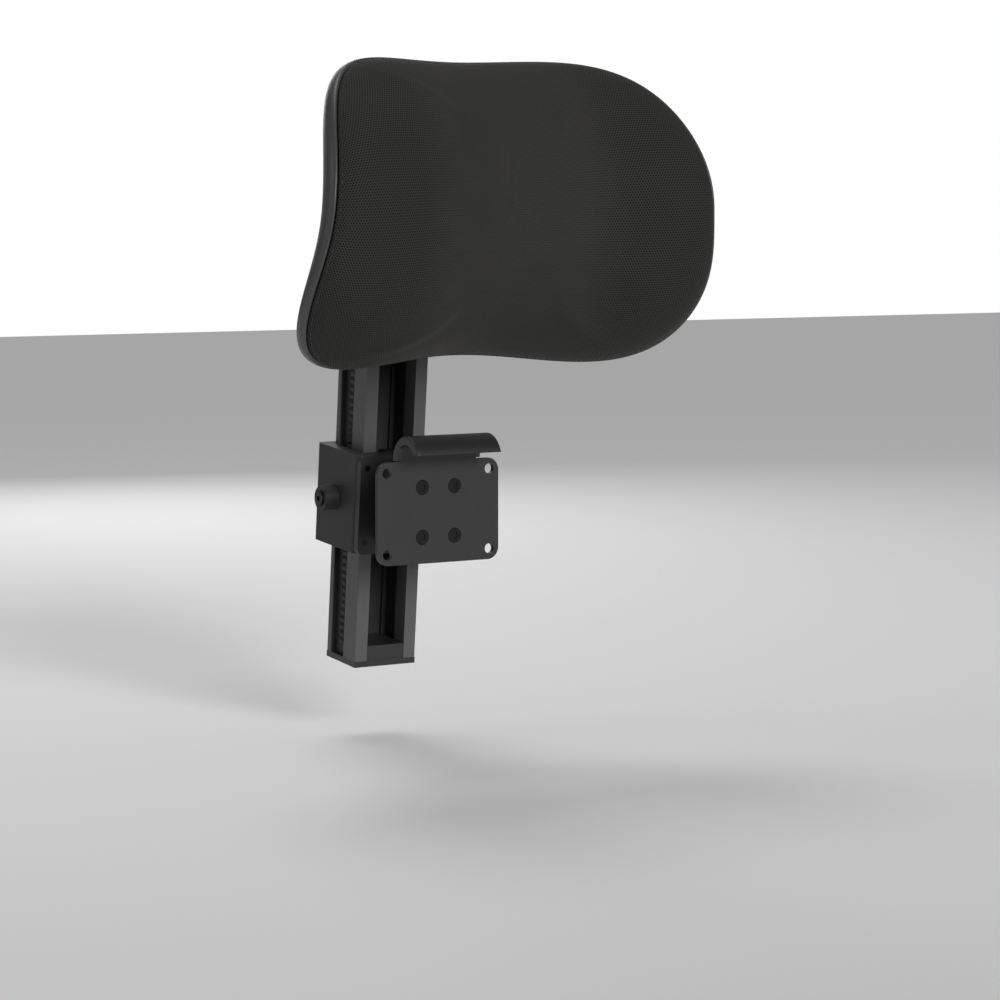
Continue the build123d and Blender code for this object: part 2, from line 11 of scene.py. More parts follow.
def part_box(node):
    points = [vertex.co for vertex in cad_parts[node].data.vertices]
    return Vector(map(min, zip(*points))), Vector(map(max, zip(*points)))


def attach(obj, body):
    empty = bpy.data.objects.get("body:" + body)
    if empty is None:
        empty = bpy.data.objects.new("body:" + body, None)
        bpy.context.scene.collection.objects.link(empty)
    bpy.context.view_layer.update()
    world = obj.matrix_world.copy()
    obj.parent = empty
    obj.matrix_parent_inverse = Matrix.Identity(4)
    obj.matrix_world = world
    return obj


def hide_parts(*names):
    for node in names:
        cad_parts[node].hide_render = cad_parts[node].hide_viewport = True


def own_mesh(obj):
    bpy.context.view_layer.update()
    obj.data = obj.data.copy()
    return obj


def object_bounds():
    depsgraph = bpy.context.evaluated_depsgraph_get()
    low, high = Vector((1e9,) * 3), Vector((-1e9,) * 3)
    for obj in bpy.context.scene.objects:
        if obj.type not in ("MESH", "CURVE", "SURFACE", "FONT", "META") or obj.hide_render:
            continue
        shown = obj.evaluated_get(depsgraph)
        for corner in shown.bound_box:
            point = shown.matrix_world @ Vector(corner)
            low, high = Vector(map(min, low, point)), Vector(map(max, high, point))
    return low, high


bl_info = {
    "name": "Chair Headrest Attachment",
    "version": (1, 0, 0),
    "blender": (4, 5, 0),
    "location": "3D View > Sidebar > Headrest",
    "description": "Builds the cushion, back shell, seam, fasteners and finishes of a chair headrest",
    "category": "Object",
}

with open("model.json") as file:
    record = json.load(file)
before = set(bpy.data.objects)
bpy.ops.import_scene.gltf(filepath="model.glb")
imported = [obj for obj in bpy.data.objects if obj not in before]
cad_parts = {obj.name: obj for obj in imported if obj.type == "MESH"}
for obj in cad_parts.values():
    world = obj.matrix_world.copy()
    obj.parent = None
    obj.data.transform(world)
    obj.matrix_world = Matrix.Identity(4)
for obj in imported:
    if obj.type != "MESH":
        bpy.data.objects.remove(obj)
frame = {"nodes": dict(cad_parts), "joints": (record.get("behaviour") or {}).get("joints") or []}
cad_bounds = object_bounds()
MM = 0.001
JOINTS = {joint["name"]: joint for joint in frame["joints"]}
PIVOT = Vector(JOINTS["head_tilt"]["pos_m"])
SLIDE_AXIS = Vector(JOINTS["height"]["axis"]).normalized()
SHARP_ANGLE = math.radians(30)
END_SLICE = 1e-4  # how thin a slice tells the end face of a screw
FINE_RINGS = (384, 88)  # points round each ring, and rings, of the cover
COARSE_RINGS = (160, 30)  # the same for the cloth and the weave's unwrap
SHELL_RINGS = 60
BOSS_SIDES = 48
BOSS_RING = 0.3  # share of the outline at which the bosses stand
OUTLINE_SAMPLES = 20001
HEADING_STEPS = 48
CLOTH_FRAMES = 20
SENSOR_WIDTH = 36.0
CLOTH = {"quality": 6, "mass": 0.25, "tension_stiffness": 25, "compression_stiffness": 25,
         "shear_stiffness": 12, "bending_stiffness": 1.5, "use_pressure": True,
         "uniform_pressure_force": 4.0, "vertex_group_mass": "seam"}


# ---- settings ----
def length(name, description, default):
    return bpy.props.FloatProperty(name=name, description=description, default=default,
                                   unit="LENGTH", subtype="DISTANCE", precision=4)


def share(name, description, default):
    return bpy.props.FloatProperty(name=name, description=description, default=default)


def angle(name, description, degrees):
    return bpy.props.FloatProperty(name=name, description=description, default=math.radians(degrees),
                                   unit="ROTATION", subtype="ANGLE")


def swatch(name, description, default):
    return bpy.props.StringProperty(name=name, description=description, default=default)


class CushionSettings(bpy.types.PropertyGroup):
    """Sizes of the winged pad and its back shell, about the mid surface that they meet on."""
    half_length: length("Half length", "Along the mid surface, centre to wing tip", 0.171)
    top: length("Top", "Outline above the pivot's height", 0.0935)
    bottom: length("Bottom", "Outline below the pivot's height", 0.090)
    top_rise: length("Top rise", "Extra height of the upper shoulders", 0.012)
    bottom_rise: length("Bottom rise", "Extra drop of the lower shoulders", 0.012)
    top_power: share("Top power", "Superellipse power of the upper outline", 2.3)
    bottom_power: share("Bottom power", "Superellipse power of the lower outline", 3.3)
    front_depth: length("Front depth", "Pad in front of the mid surface", 0.050)
    back_depth: length("Back depth", "Shell behind the mid surface", 0.032)
    wing_taper: share("Wing taper", "Share of the depth lost at the wing tips", 0.2)
    edge_power: share("Edge power", "How square the rolled edge is", 3.8)
    wing_angle: angle("Wing angle", "Heading of the wings", 39.0)
    wing_reach: length("Wing reach", "Length over which the wings turn", 0.076)
    centre_bow: length("Centre bow", "How far the middle stands forward", 0.021)
    corner_sweep: length("Corner sweep", "How far the wings' corners fall back", 0.027)
    corner_twist: length("Corner twist", "Difference between upper and lower corners", 0.013)
    mid_y: length("Mid surface Y", "Place of the mid surface's datum", -0.017)
    swell: length("Swell", "Most that the fabric may bulge", 0.004)
    shell_wall: length("Shell wall", "Thickness of the moulded shell", 0.0026)
    seam_gap: length("Seam gap", "Groove between cover and shell", 0.0011)
    wing_line: length("Wing line", "Where a wing's dished panel starts, from the centre", 0.075)
    wing_dish: length("Wing dish", "How far the wings' panels are drawn in", 0.0030)
    fold_height: length("Fold height", "Ridge of the folds at the wings' upper and lower ends", 0.0036)
    fold_width: length("Fold width", "Half width of a fold's ridge", 0.012)
    dish_blend: length("Dish blend", "Half width of the dished panel's border", 0.024)
    corner_height: length("Corner height", "Height at which bow, sweep and twist count in full", 0.1)
    cover_inset: length("Cover inset", "Cover's outline inside the shell's", 0.0008)


class FabricSettings(bpy.types.PropertyGroup):
    """The knitted mesh."""
    hole_pitch: length("Hole pitch", "Distance between neighbouring holes of the knit", 0.0018)
    hole_core: share("Hole core", "Radius of a hole's flat bottom, in pitches", 0.16)
    closed_reach: share("Closed reach", "Radius of a hole over the centre, in pitches", 0.36)
    open_reach: share("Open reach", "Radius of a hole over the wings, in pitches", 0.45)
    closed_depth: share("Closed depth", "How dark a hole is over the centre", 0.45)
    # the next two also set where the wings' painted shade starts and is full
    stretch_and_shade_start: length("Open start", "Where the knit starts to open, from the centre", 0.040)
    stretch_and_shade_full: length("Open full", "Where the knit is fully open, from the centre", 0.080)
    stitch_pitch: length("Stitch pitch", "Distance between seam stitches", 0.0042)
    stitch_length: length("Stitch length", "Length of one stitch", 0.0027)
    thread_radius: length("Thread radius", "Radius of the seam thread", 0.00035)
    stitch_inset: length("Stitch inset", "Stitches from the seam, up the rolled edge", 0.0022)
    yarn_colour: swatch("Yarn colour", "sRGB hex of the yarn", "30302F")
    light_yarn_colour: swatch("Light yarn colour", "sRGB hex of the yarn where it is rubbed", "353433")
    hole_colour: swatch("Hole colour", "sRGB hex seen in the holes", "121211")
    thread_colour: swatch("Thread colour", "sRGB hex of the seam thread", "232322")


class HardwareSettings(bpy.types.PropertyGroup):
    """Fasteners and springs."""
    coil_turns: share("Coil turns", "Turns of each detent spring", 5.0)
    wire_radius: length("Wire radius", "Radius of the spring wire", 0.0004)
    socket_share: share("Socket share", "Hex socket's width as a share of the screw head's", 0.52)
    head_chamfer: length("Head chamfer", "Bevel round a screw's head", 0.0005)
    chamfer_limit: share("Chamfer limit", "Most of a head's height that the bevel may take", 0.3)


class StudioSettings(bpy.types.PropertyGroup):
    """Camera, floor and lights."""
    azimuth: angle("Azimuth", "Camera's angle round the object, from the front", -32.0)
    elevation: angle("Elevation", "Camera's angle above level", 5.5)
    distance: length("Distance", "Camera to the aim point", 1.973)
    frame_height: length("Frame height", "Height seen at the aim point's distance", 0.64035)
    aim_right: length("Aim right", "Aim point right of the tilt pivot, across the view", 0.0499)
    aim_up: length("Aim up", "Aim point above the tilt pivot, up the view", -0.1844)
    ambient: share("Ambient", "Light from all round, as a share of the white background", 0.15)
    key_power: share("Key power", "Strength of the broad frontal light", 2.6)
    top_power: share("Top power", "Watts of the softbox overhead", 6.0)
    side_power: share("Side power", "Watts of the softbox at the left, behind", 1.8)
    rear_power: share("Rear power", "Watts of the softbox behind", 6.0)
    key_spread: angle("Key spread", "How broad the frontal light is", 26.0)
    softbox_size: length("Softbox size", "Side of each softbox", 0.7)
    floor_reach: length("Floor reach", "Half side of the floor", 6.0)
    floor_drop: length("Floor drop", "Floor below the object at rest, clear of its lowest pose", 0.05)


def settings():
    return bpy.context.scene.headrest_cushion


# ---- helpers ----
def linear(code):
    """An sRGB hex colour as linear RGBA."""
    values = [int(code[i:i + 2], 16) / 255 for i in (0, 2, 4)]
    return [v / 12.92 if v <= 0.04045 else ((v + 0.055) / 1.055) ** 2.4 for v in values] + [1.0]


def add(tree, kind, inputs=None, **values):
    """Adds a node and sets its properties and inputs; sockets, and nodes' first outputs, are linked."""
    node = tree.nodes.new(kind)
    for name, value in values.items():
        setattr(node, name, value)
    for key, value in (inputs or {}).items():
        if isinstance(value, bpy.types.Node):
            value = value.outputs[0]
        if isinstance(value, bpy.types.NodeSocket):
            tree.links.new(value, node.inputs[key])
        else:
            node.inputs[key].default_value = value
    return node


def placed(name, data):
    """A new object in the scene."""
    thing = bpy.data.objects.new(name, data)
    bpy.context.scene.collection.objects.link(thing)
    return thing


def vertex_places(mesh):
    places = np.empty(len(mesh.vertices) * 3)
    mesh.vertices.foreach_get("co", places)
    return places.reshape(-1, 3)


def loop_vertices(mesh):
    loops = np.empty(len(mesh.loops), int)
    mesh.loops.foreach_get("vertex_index", loops)
    return loops


def new_material(name):
    material = bpy.data.materials.new(name)
    material.use_nodes = True
    material.node_tree.nodes.clear()
    return material, material.node_tree


def finish_material(tree, shader):
    add(tree, "ShaderNodeOutputMaterial", {"Surface": shader})


def grain(tree, coords, millimetres, stretch=(1, 1, 1), detail=3.0):
    """Noise whose features are about that many millimetres across, longer where stretch is above 1."""
    scale = [1 / (millimetres * MM * s) for s in stretch]
    mapped = add(tree, "ShaderNodeMapping", {"Vector": coords, "Scale": scale})
    return add(tree, "ShaderNodeTexNoise", {"Vector": mapped, "Scale": 1.0, "Detail": detail})


def knitted_mesh():
    """Knitted polyester mesh: dark yarn with a lattice of small holes that close up over the firm centre
    and open over the wings, where the knit is stretched, and a soft bloom at its rolled edges. The holes also
    darken over the wings, partly from the open knit and partly as painted shade for the wings turned from the
    light."""
    fabric = bpy.context.scene.headrest_fabric
    material, tree = new_material("knitted_polyester_mesh")
    weave = add(tree, "ShaderNodeUVMap", uv_map="weave").outputs[0]
    coords = add(tree, "ShaderNodeTexCoord").outputs["Object"]
    rows = []
    for shift in (0.0, 0.5):
        cell = add(tree, "ShaderNodeMapping", {
            "Vector": weave, "Scale": (1 / fabric.hole_pitch, 0.577 / fabric.hole_pitch, 1),
            "Location": (shift, shift, 0)})
        part = add(tree, "ShaderNodeVectorMath", {0: cell}, operation="FRACTION")
        centred = add(tree, "ShaderNodeVectorMath", {0: part, 1: (0.5, 0.5, 0)},
                      operation="SUBTRACT")
        scaled = add(tree, "ShaderNodeVectorMath", {0: centred, 1: (1.0, 1.732, 0)},
                     operation="MULTIPLY")
        rows.append(add(tree, "ShaderNodeVectorMath", {0: scaled}, operation="LENGTH").outputs[1])
    nearest = add(tree, "ShaderNodeMath", {0: rows[0], 1: rows[1]}, operation="MINIMUM")
    place = add(tree, "ShaderNodeSeparateXYZ", {0: coords})
    aside = add(tree, "ShaderNodeMath", {0: place.outputs["X"]}, operation="ABSOLUTE")
    # partly painted shade: towards the wing tips the holes open wider and turn darker; the stretched knit
    # opens them, and the extra darkness stands in for the wings' shading
    wing_stretch_and_shade = add(tree, "ShaderNodeMapRange", {
        "Value": aside, "From Min": fabric.stretch_and_shade_start, "From Max": fabric.stretch_and_shade_full},
        interpolation_type="SMOOTHSTEP")
    reach = add(tree, "ShaderNodeMapRange", {"Value": wing_stretch_and_shade, "To Min": fabric.closed_reach,
                                             "To Max": fabric.open_reach})
    depth = add(tree, "ShaderNodeMapRange", {"Value": wing_stretch_and_shade, "To Min": fabric.closed_depth,
                                             "To Max": 1.0})
    hole = add(tree, "ShaderNodeMapRange", {
        "Value": nearest, "From Min": fabric.hole_core, "From Max": reach,
        "To Min": depth, "To Max": 0.0}, interpolation_type="SMOOTHSTEP")
    cloud = grain(tree, coords, 26.0, detail=2.0)
    yarn = grain(tree, weave, 0.5, detail=2.0)
    tone = add(tree, "ShaderNodeMix", {
        0: cloud, 6: linear(fabric.yarn_colour), 7: linear(fabric.light_yarn_colour)},
        data_type="RGBA")
    fuzziness = add(tree, "ShaderNodeMath", {0: yarn, 1: 0.35}, operation="MULTIPLY")
    fuzz = add(tree, "ShaderNodeMix", {0: fuzziness, 6: tone.outputs[2], 7: linear("8A8885")},
               data_type="RGBA", blend_type="MULTIPLY")
    colour = add(tree, "ShaderNodeMix", {
        0: hole, 6: fuzz.outputs[2], 7: linear(fabric.hole_colour)}, data_type="RGBA")
    height = add(tree, "ShaderNodeMath", {0: hole, 1: -1.0}, operation="MULTIPLY")
    bump = add(tree, "ShaderNodeBump", {"Height": height, "Strength": 0.4, "Distance": 0.0005})
    rough = add(tree, "ShaderNodeMapRange", {"Value": hole, "To Min": 0.78, "To Max": 0.95})
    shader = add(tree, "ShaderNodeBsdfPrincipled", {
        "Base Color": colour.outputs[2], "Roughness": rough, "Specular IOR Level": 0.15,
        "Sheen Weight": 0.09, "Sheen Roughness": 0.35, "Sheen Tint": linear("B9B4AE"),
        "Normal": bump})
    finish_material(tree, shader)
    return material


def sewing_thread():
    """Bonded polyester thread: round, faintly glossy strands with a twist."""
    colour = bpy.context.scene.headrest_fabric.thread_colour
    material, tree = new_material("bonded_polyester_thread")
    coords = add(tree, "ShaderNodeTexCoord").outputs["Object"]
    twist = grain(tree, coords, 0.4, detail=1.0)
    tone = add(tree, "ShaderNodeMix", {0: twist, 6: linear("1B1B1A"), 7: linear(colour)},
               data_type="RGBA")
    bump = add(tree, "ShaderNodeBump", {"Height": twist, "Strength": 0.4, "Distance": 0.0001})
    shader = add(tree, "ShaderNodeBsdfPrincipled", {
        "Base Color": tone.outputs[2], "Roughness": 0.6, "Sheen Weight": 0.05, "Normal": bump})
    finish_material(tree, shader)
    return material


def grained(name, dark, light, roughness, broad, fine, relief, rough_follows_fine=False, **shading):
    """A finish whose tone follows a broad grain and its relief a fine one, each (millimetres, detail).
    Roughness is (least, most), relief (strength, depth), and shading sets further inputs."""
    material, tree = new_material(name)
    coords = add(tree, "ShaderNodeTexCoord").outputs["Object"]
    close, wide = (grain(tree, coords, size, detail=detail) for size, detail in (fine, broad))
    tone = add(tree, "ShaderNodeMix", {0: wide, 6: linear(dark), 7: linear(light)}, data_type="RGBA")
    rough = add(tree, "ShaderNodeMapRange", {
        "Value": close if rough_follows_fine else wide, "To Min": roughness[0], "To Max": roughness[1]})
    bump = add(tree, "ShaderNodeBump", {"Height": close, "Strength": relief[0], "Distance": relief[1]})
    shader = add(tree, "ShaderNodeBsdfPrincipled", {
        "Base Color": tone.outputs[2], "Roughness": rough, "Normal": bump, **shading})
    finish_material(tree, shader)
    return material


def moulded_plastic(name, dark, light, roughness, texture=0.35, strength=0.18):
    """Moulded plastic: an even tone with a fine spark-eroded texture that softens its highlights."""
    return grained(name, dark, light, (roughness - 0.05, roughness + 0.05), (18.0, 2.0), (texture, 3.0),
                   (strength, 0.0002), IOR=1.49)


def anodised_aluminium():
    """Dyed matt anodising over brushed aluminium: soft grey facets with faint die lines along the stem, and
    painted shade: the faces deep in its grooves and in the channel between its rails are painted darker."""
    material, tree = new_material("black_anodised_aluminium")
    coords = add(tree, "ShaderNodeTexCoord").outputs["Object"]
    half_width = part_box("stem_rail")[1].x
    # how far behind the stem's front the painted shade in the grooves and channel starts, is full and ends,
    # and the outer skin's depth
    groove_start, groove_full, groove_end, skin = 0.0125, 0.0140, 0.0375, 0.0008
    lean = math.atan2(-SLIDE_AXIS.y, SLIDE_AXIS.z)
    upright = add(tree, "ShaderNodeMapping", {"Vector": coords, "Rotation": (-lean, 0, 0)})
    place = add(tree, "ShaderNodeSeparateXYZ", {0: upright})
    behind = add(tree, "ShaderNodeMath", {0: place.outputs["Y"], 1: stem_front(lean)}, operation="SUBTRACT")
    deep = add(tree, "ShaderNodeMapRange", {
        "Value": behind, "From Min": groove_start, "From Max": groove_full})
    ahead = add(tree, "ShaderNodeMath", {0: behind, 1: groove_end}, operation="LESS_THAN")
    side = add(tree, "ShaderNodeMath", {0: place.outputs["X"]}, operation="ABSOLUTE")
    inside = add(tree, "ShaderNodeMath", {0: side, 1: half_width - skin}, operation="LESS_THAN")
    within = add(tree, "ShaderNodeMath", {0: ahead, 1: inside}, operation="MULTIPLY")
    # painted shade mask: faces inside the outer skin and deep in the grooves and channel
    channel_painted_shade = add(tree, "ShaderNodeMath", {0: deep, 1: within}, operation="MULTIPLY")
    lines = grain(tree, upright, 0.5, stretch=(1, 1, 300))
    cloud = grain(tree, coords, 12.0, detail=2.0)
    brushed = add(tree, "ShaderNodeMix", {0: lines, 6: linear("4D4D4E"), 7: linear("565657")},
                  data_type="RGBA")
    # the darker colour is painted shade standing in for the shade that falls in the recesses
    colour = add(tree, "ShaderNodeMix", {0: channel_painted_shade, 6: brushed.outputs[2], 7: linear("282829")},
                 data_type="RGBA")
    rough = add(tree, "ShaderNodeMapRange", {"Value": cloud, "To Min": 0.42, "To Max": 0.52})
    bump = add(tree, "ShaderNodeBump", {"Height": lines, "Strength": 0.12, "Distance": 0.0001})
    shader = add(tree, "ShaderNodeBsdfPrincipled", {
        "Base Color": colour.outputs[2], "Metallic": 0.25, "Roughness": rough,
        "Normal": bump})
    finish_material(tree, shader)
    return material


def stem_front(lean):
    """Y of the stem's front face once its lean is turned upright."""
    points = vertex_places(frame["nodes"]["stem_rail"].data)
    return float((points[:, 1] * math.cos(lean) + points[:, 2] * math.sin(lean)).min())


def powder_coat(name, dark, light):
    """Matt powder coat on metal: a faint orange peel under a soft highlight."""
    return grained(name, dark, light, (0.42, 0.56), (15.0, 2.0), (1.1, 1.0), (0.25, 0.0003),
                   rough_follows_fine=True, IOR=1.5)


def bare_metal(name, dark, light, roughness):
    """Plated or oiled metal with fine turning marks that break up its highlights."""
    return grained(name, dark, light, (roughness - 0.06, roughness + 0.06), (0.4, 3.0), (0.4, 3.0),
                   (0.1, 0.0001), Metallic=1.0)


# ---- what the frame's fasteners measure ----
def separate_solids(node):
    """The points of each separate solid of a node, in a fixed order."""
    shape = bmesh.new()
    shape.from_mesh(frame["nodes"][node].data)
    bmesh.ops.remove_doubles(shape, verts=shape.verts, dist=1e-6)
    left = set(shape.verts)
    solids = []
    for start in list(shape.verts):
        if start not in left:
            continue
        left.discard(start)
        found, queue = [start], [start]
        while queue:
            for edge in queue.pop().link_edges:
                for vertex in edge.verts:
                    if vertex in left:
                        left.discard(vertex)
                        found.append(vertex)
                        queue.append(vertex)
        solids.append(np.array([vertex.co for vertex in found]))
    shape.free()
    return sorted(solids, key=lambda points: tuple(points.mean(0).round(4)))


def measure_screw(points):
    """A screw's head end, the way its head faces, and its radii and lengths, from the points of its solid."""
    centre = points.mean(0)
    axis = np.linalg.svd(points - centre)[2][0]
    along = (points - centre) @ axis
    middle = centre + axis * (along.max() + along.min()) / 2
    spread_out = points - middle - np.outer((points - middle) @ axis, axis)
    low = spread_out[along < along.min() + END_SLICE]
    shift = (low.min(0) + low.max(0)) / 2
    radius = np.linalg.norm(spread_out - shift, axis=1)
    if radius[along < along.min() + END_SLICE].max() > radius[along > along.max() - END_SLICE].max():
        axis, along = -axis, -along
    middle = middle + shift
    head = radius[along > along.max() - END_SLICE].max()
    shank = radius[along < along.min() + END_SLICE].max()
    narrow = along[(radius < 1.1 * shank) & (along < along.max() - END_SLICE)].max()
    under = radius[np.abs(along - narrow) < END_SLICE].max()
    half = (along.max() - along.min()) / 2
    return {"top": middle + axis * half, "axis": axis, "head": float(head), "shank": float(shank),
            "height": float(along.max() - narrow), "under": float(max(under, shank)),
            "length": float(2 * half)}


# ---- geometry node trees ----
def new_tree(name, numbers, vectors=()):
    """A geometry tree and its inputs: a geometry, named numbers with defaults, vectors and a material."""
    tree = bpy.data.node_groups.new(name, "GeometryNodeTree")

    def socket(label, kind, in_out="INPUT"):
        return tree.interface.new_socket(label, in_out=in_out, socket_type="NodeSocket" + kind)

    socket("Geometry", "Geometry")
    for label, default in numbers.items():
        socket(label, "Float").default_value = default
    for label in vectors:
        socket(label, "Vector")
    socket("Material", "Material")
    socket("Geometry", "Geometry", "OUTPUT")
    return tree, add(tree, "NodeGroupInput").outputs


def close_tree(tree, geometry, material):
    whole = add(tree, "GeometryNodeRealizeInstances", {0: geometry})
    coated = add(tree, "GeometryNodeSetMaterial", {"Geometry": whole, "Material": material})
    add(tree, "NodeGroupOutput", {0: coated})


def grown_mesh(name, base, tree, values):
    """Runs a tree on a base object, keeps the result as a plain mesh and removes the base."""
    modifier = base.modifiers.new(tree.name, "NODES")
    modifier.node_group = tree
    keys = {item.name: item.identifier for item in tree.interface.items_tree if item.in_out == "INPUT"}
    for label, value in values.items():
        modifier[keys[label]] = value
    grown = base.evaluated_get(bpy.context.evaluated_depsgraph_get())
    mesh = bpy.data.meshes.new_from_object(grown)
    mesh.name = name
    bpy.data.objects.remove(base)
    mesh.polygons.foreach_set("use_smooth", [True] * len(mesh.polygons))
    mesh.set_sharp_from_angle(angle=SHARP_ANGLE)
    return placed(name, mesh)


def stitch_tree():
    """Stitches set along a seam at an even pitch, each a short rounded bar that lies along it."""
    tree, given = new_tree("seam_stitches", {
        "Pitch": 0.004, "Stitch Length": 0.003, "Thread Radius": 0.0004})
    curve = add(tree, "GeometryNodeMeshToCurve", {"Mesh": given["Geometry"]})
    places = add(tree, "GeometryNodeResampleCurve", {"Curve": curve, "Length": given["Pitch"]},
                 mode="LENGTH")
    bead = add(tree, "GeometryNodeMeshUVSphere", {"Segments": 6, "Rings": 5, "Radius": 1.0})
    half = add(tree, "ShaderNodeMath", {0: given["Stitch Length"], 1: 0.5}, operation="MULTIPLY")
    size = add(tree, "ShaderNodeCombineXYZ", {0: given["Thread Radius"], 1: given["Thread Radius"],
                                              2: half})
    bar = add(tree, "GeometryNodeTransform", {"Geometry": bead.outputs["Mesh"], "Scale": size})
    along = add(tree, "GeometryNodeInputTangent")
    turn = add(tree, "FunctionNodeAlignRotationToVector", {"Vector": along}, axis="Z")
    row = add(tree, "GeometryNodeInstanceOnPoints", {
        "Points": places, "Instance": bar, "Rotation": turn})
    close_tree(tree, row, given["Material"])
    return tree


def screw_tree():
    """A screw with a bevelled head and a hex socket, set on each point, its head facing the point's axis."""
    tree, given = new_tree("socket_screws", {
        "Head Radius": 0.003, "Under Radius": 0.003, "Head Height": 0.003, "Chamfer": 0.0005,
        "Shank Radius": 0.002, "Shank Length": 0.01, "Socket Radius": 0.0015})

    def sum_of(a, b, sign):
        operation = "ADD" if sign > 0 else "SUBTRACT"
        return add(tree, "ShaderNodeMath", {0: a, 1: b}, operation=operation).outputs[0]

    def lifted(mesh, height):
        place = add(tree, "ShaderNodeCombineXYZ", {2: height}).outputs[0]
        return add(tree, "GeometryNodeTransform", {"Geometry": mesh, "Translation": place}).outputs[0]

    height, chamfer = given["Head Height"], given["Chamfer"]
    body_height = sum_of(height, chamfer, -1)
    body = add(tree, "GeometryNodeMeshCone", {
        "Vertices": 36, "Radius Top": given["Head Radius"], "Radius Bottom": given["Under Radius"],
        "Depth": body_height}).outputs[0]
    rim = add(tree, "GeometryNodeMeshCone", {
        "Vertices": 36, "Radius Top": sum_of(given["Head Radius"], chamfer, -1),
        "Radius Bottom": given["Head Radius"], "Depth": chamfer}).outputs[0]
    top = add(tree, "GeometryNodeMeshBoolean", operation="UNION")
    tree.links.new(body, top.inputs["Mesh 2"])
    tree.links.new(lifted(rim, body_height), top.inputs["Mesh 2"])
    socket = add(tree, "GeometryNodeMeshCylinder", {
        "Vertices": 6, "Radius": given["Socket Radius"], "Depth": height}).outputs[0]
    head = add(tree, "GeometryNodeMeshBoolean", {"Mesh 1": top}, operation="DIFFERENCE")
    tree.links.new(lifted(socket, sum_of(height, chamfer, 1)), head.inputs["Mesh 2"])
    shank = add(tree, "GeometryNodeMeshCylinder", {
        "Vertices": 24, "Radius": given["Shank Radius"], "Depth": given["Shank Length"]}).outputs[0]
    drop = add(tree, "ShaderNodeMath", {0: given["Shank Length"], 1: -0.5}, operation="MULTIPLY").outputs[0]
    whole = add(tree, "GeometryNodeJoinGeometry")
    tree.links.new(lifted(shank, drop), whole.inputs[0])
    tree.links.new(head.outputs[0], whole.inputs[0])
    axis = add(tree, "GeometryNodeInputNamedAttribute", {"Name": "axis"}, data_type="FLOAT_VECTOR")
    turn = add(tree, "FunctionNodeAlignRotationToVector", {"Vector": axis}, axis="Z")
    row = add(tree, "GeometryNodeInstanceOnPoints", {
        "Points": given["Geometry"], "Instance": whole, "Rotation": turn})
    close_tree(tree, row, given["Material"])
    return tree


def spring_tree():
    """A compression spring wound along X from the object's start."""
    tree, given = new_tree("coil_spring", {
        "Turns": 5.0, "Coil Radius": 0.003, "Wire Radius": 0.0004, "Length": 0.007}, ("Start",))
    coil = add(tree, "GeometryNodeCurveSpiral", {
        "Resolution": 32, "Rotations": given["Turns"], "Start Radius": given["Coil Radius"],
        "End Radius": given["Coil Radius"], "Height": given["Length"]})
    wire = add(tree, "GeometryNodeCurvePrimitiveCircle", {"Resolution": 10, "Radius": given["Wire Radius"]})
    wound = add(tree, "GeometryNodeCurveToMesh", {
        "Curve": coil, "Profile Curve": wire, "Fill Caps": True})
    laid = add(tree, "GeometryNodeTransform", {
        "Geometry": wound, "Translation": given["Start"], "Rotation": (0, math.pi / 2, 0)})
    close_tree(tree, laid, given["Material"])
    return tree


# ---- cushion shape ----
def heading(u):
    c = settings()
    return c.wing_angle * np.tanh(u / c.wing_reach)


def plan_place(u):
    """Distance across and forward of the mid surface at each length u from its centre."""
    steps = (np.arange(HEADING_STEPS) + 0.5) / HEADING_STEPS
    angles = heading(u[..., None] * steps)
    return np.cos(angles).mean(-1) * u, np.sin(angles).mean(-1) * u


def pad_points(u, z, offset):
    """Points that far in front of the mid surface, or behind it where offset is below zero."""
    c = settings()
    across, forward = plan_place(u)
    outward = (u / c.half_length) ** 2
    level = z / c.corner_height
    shift = c.centre_bow * (1 - level ** 2) + outward * level * (c.corner_twist - c.corner_sweep * level)
    turn = heading(u)
    reach = offset + shift
    return np.stack([across - reach * np.sin(turn), c.mid_y - forward - reach * np.cos(turn),
                     PIVOT.z + z], -1)


def outline(psi, inset):
    """Length along the mid surface, share of the height, and whether it lies above, at each angle."""
    c = settings()
    cos, sin = np.cos(psi), np.sin(psi)
    top = sin > 0
    power = np.where(top, c.top_power, c.bottom_power)
    u = np.sign(cos) * np.abs(cos) ** (2 / power) * (c.half_length - inset)
    z = np.sign(sin) * np.abs(sin) ** (2 / power)
    return u, z, top


def even_angles(around):
    """Angles whose points lie evenly along the outline."""
    fine = np.linspace(0, 2 * np.pi, OUTLINE_SAMPLES)
    u, z = ring_places(np.ones(1), fine, 0.0)
    gone = np.concatenate([[0], np.cumsum(np.hypot(np.diff(u[0]), np.diff(z[0])))])
    return np.interp(np.arange(around) * gone[-1] / around, gone, fine)


def ring_places(rho, psi, inset):
    """(u, z) for each ring share rho and angle psi."""
    c = settings()
    edge_u, edge_z, top = outline(psi, inset)
    u = rho[:, None] * edge_u[None]
    out = (u / (c.half_length - inset)) ** 2
    tall = np.where(top, c.top - inset + c.top_rise * 4 * out * (1 - out),
                    c.bottom - inset + c.bottom_rise * 4 * out * (1 - out))
    return u, rho[:, None] * edge_z[None] * tall


def depth_share(rho, u):
    c = settings()
    edge = np.sqrt(np.clip(1 - rho ** c.edge_power, 0, 1))
    return edge[:, None] * (1 - c.wing_taper * (u / c.half_length) ** 2)


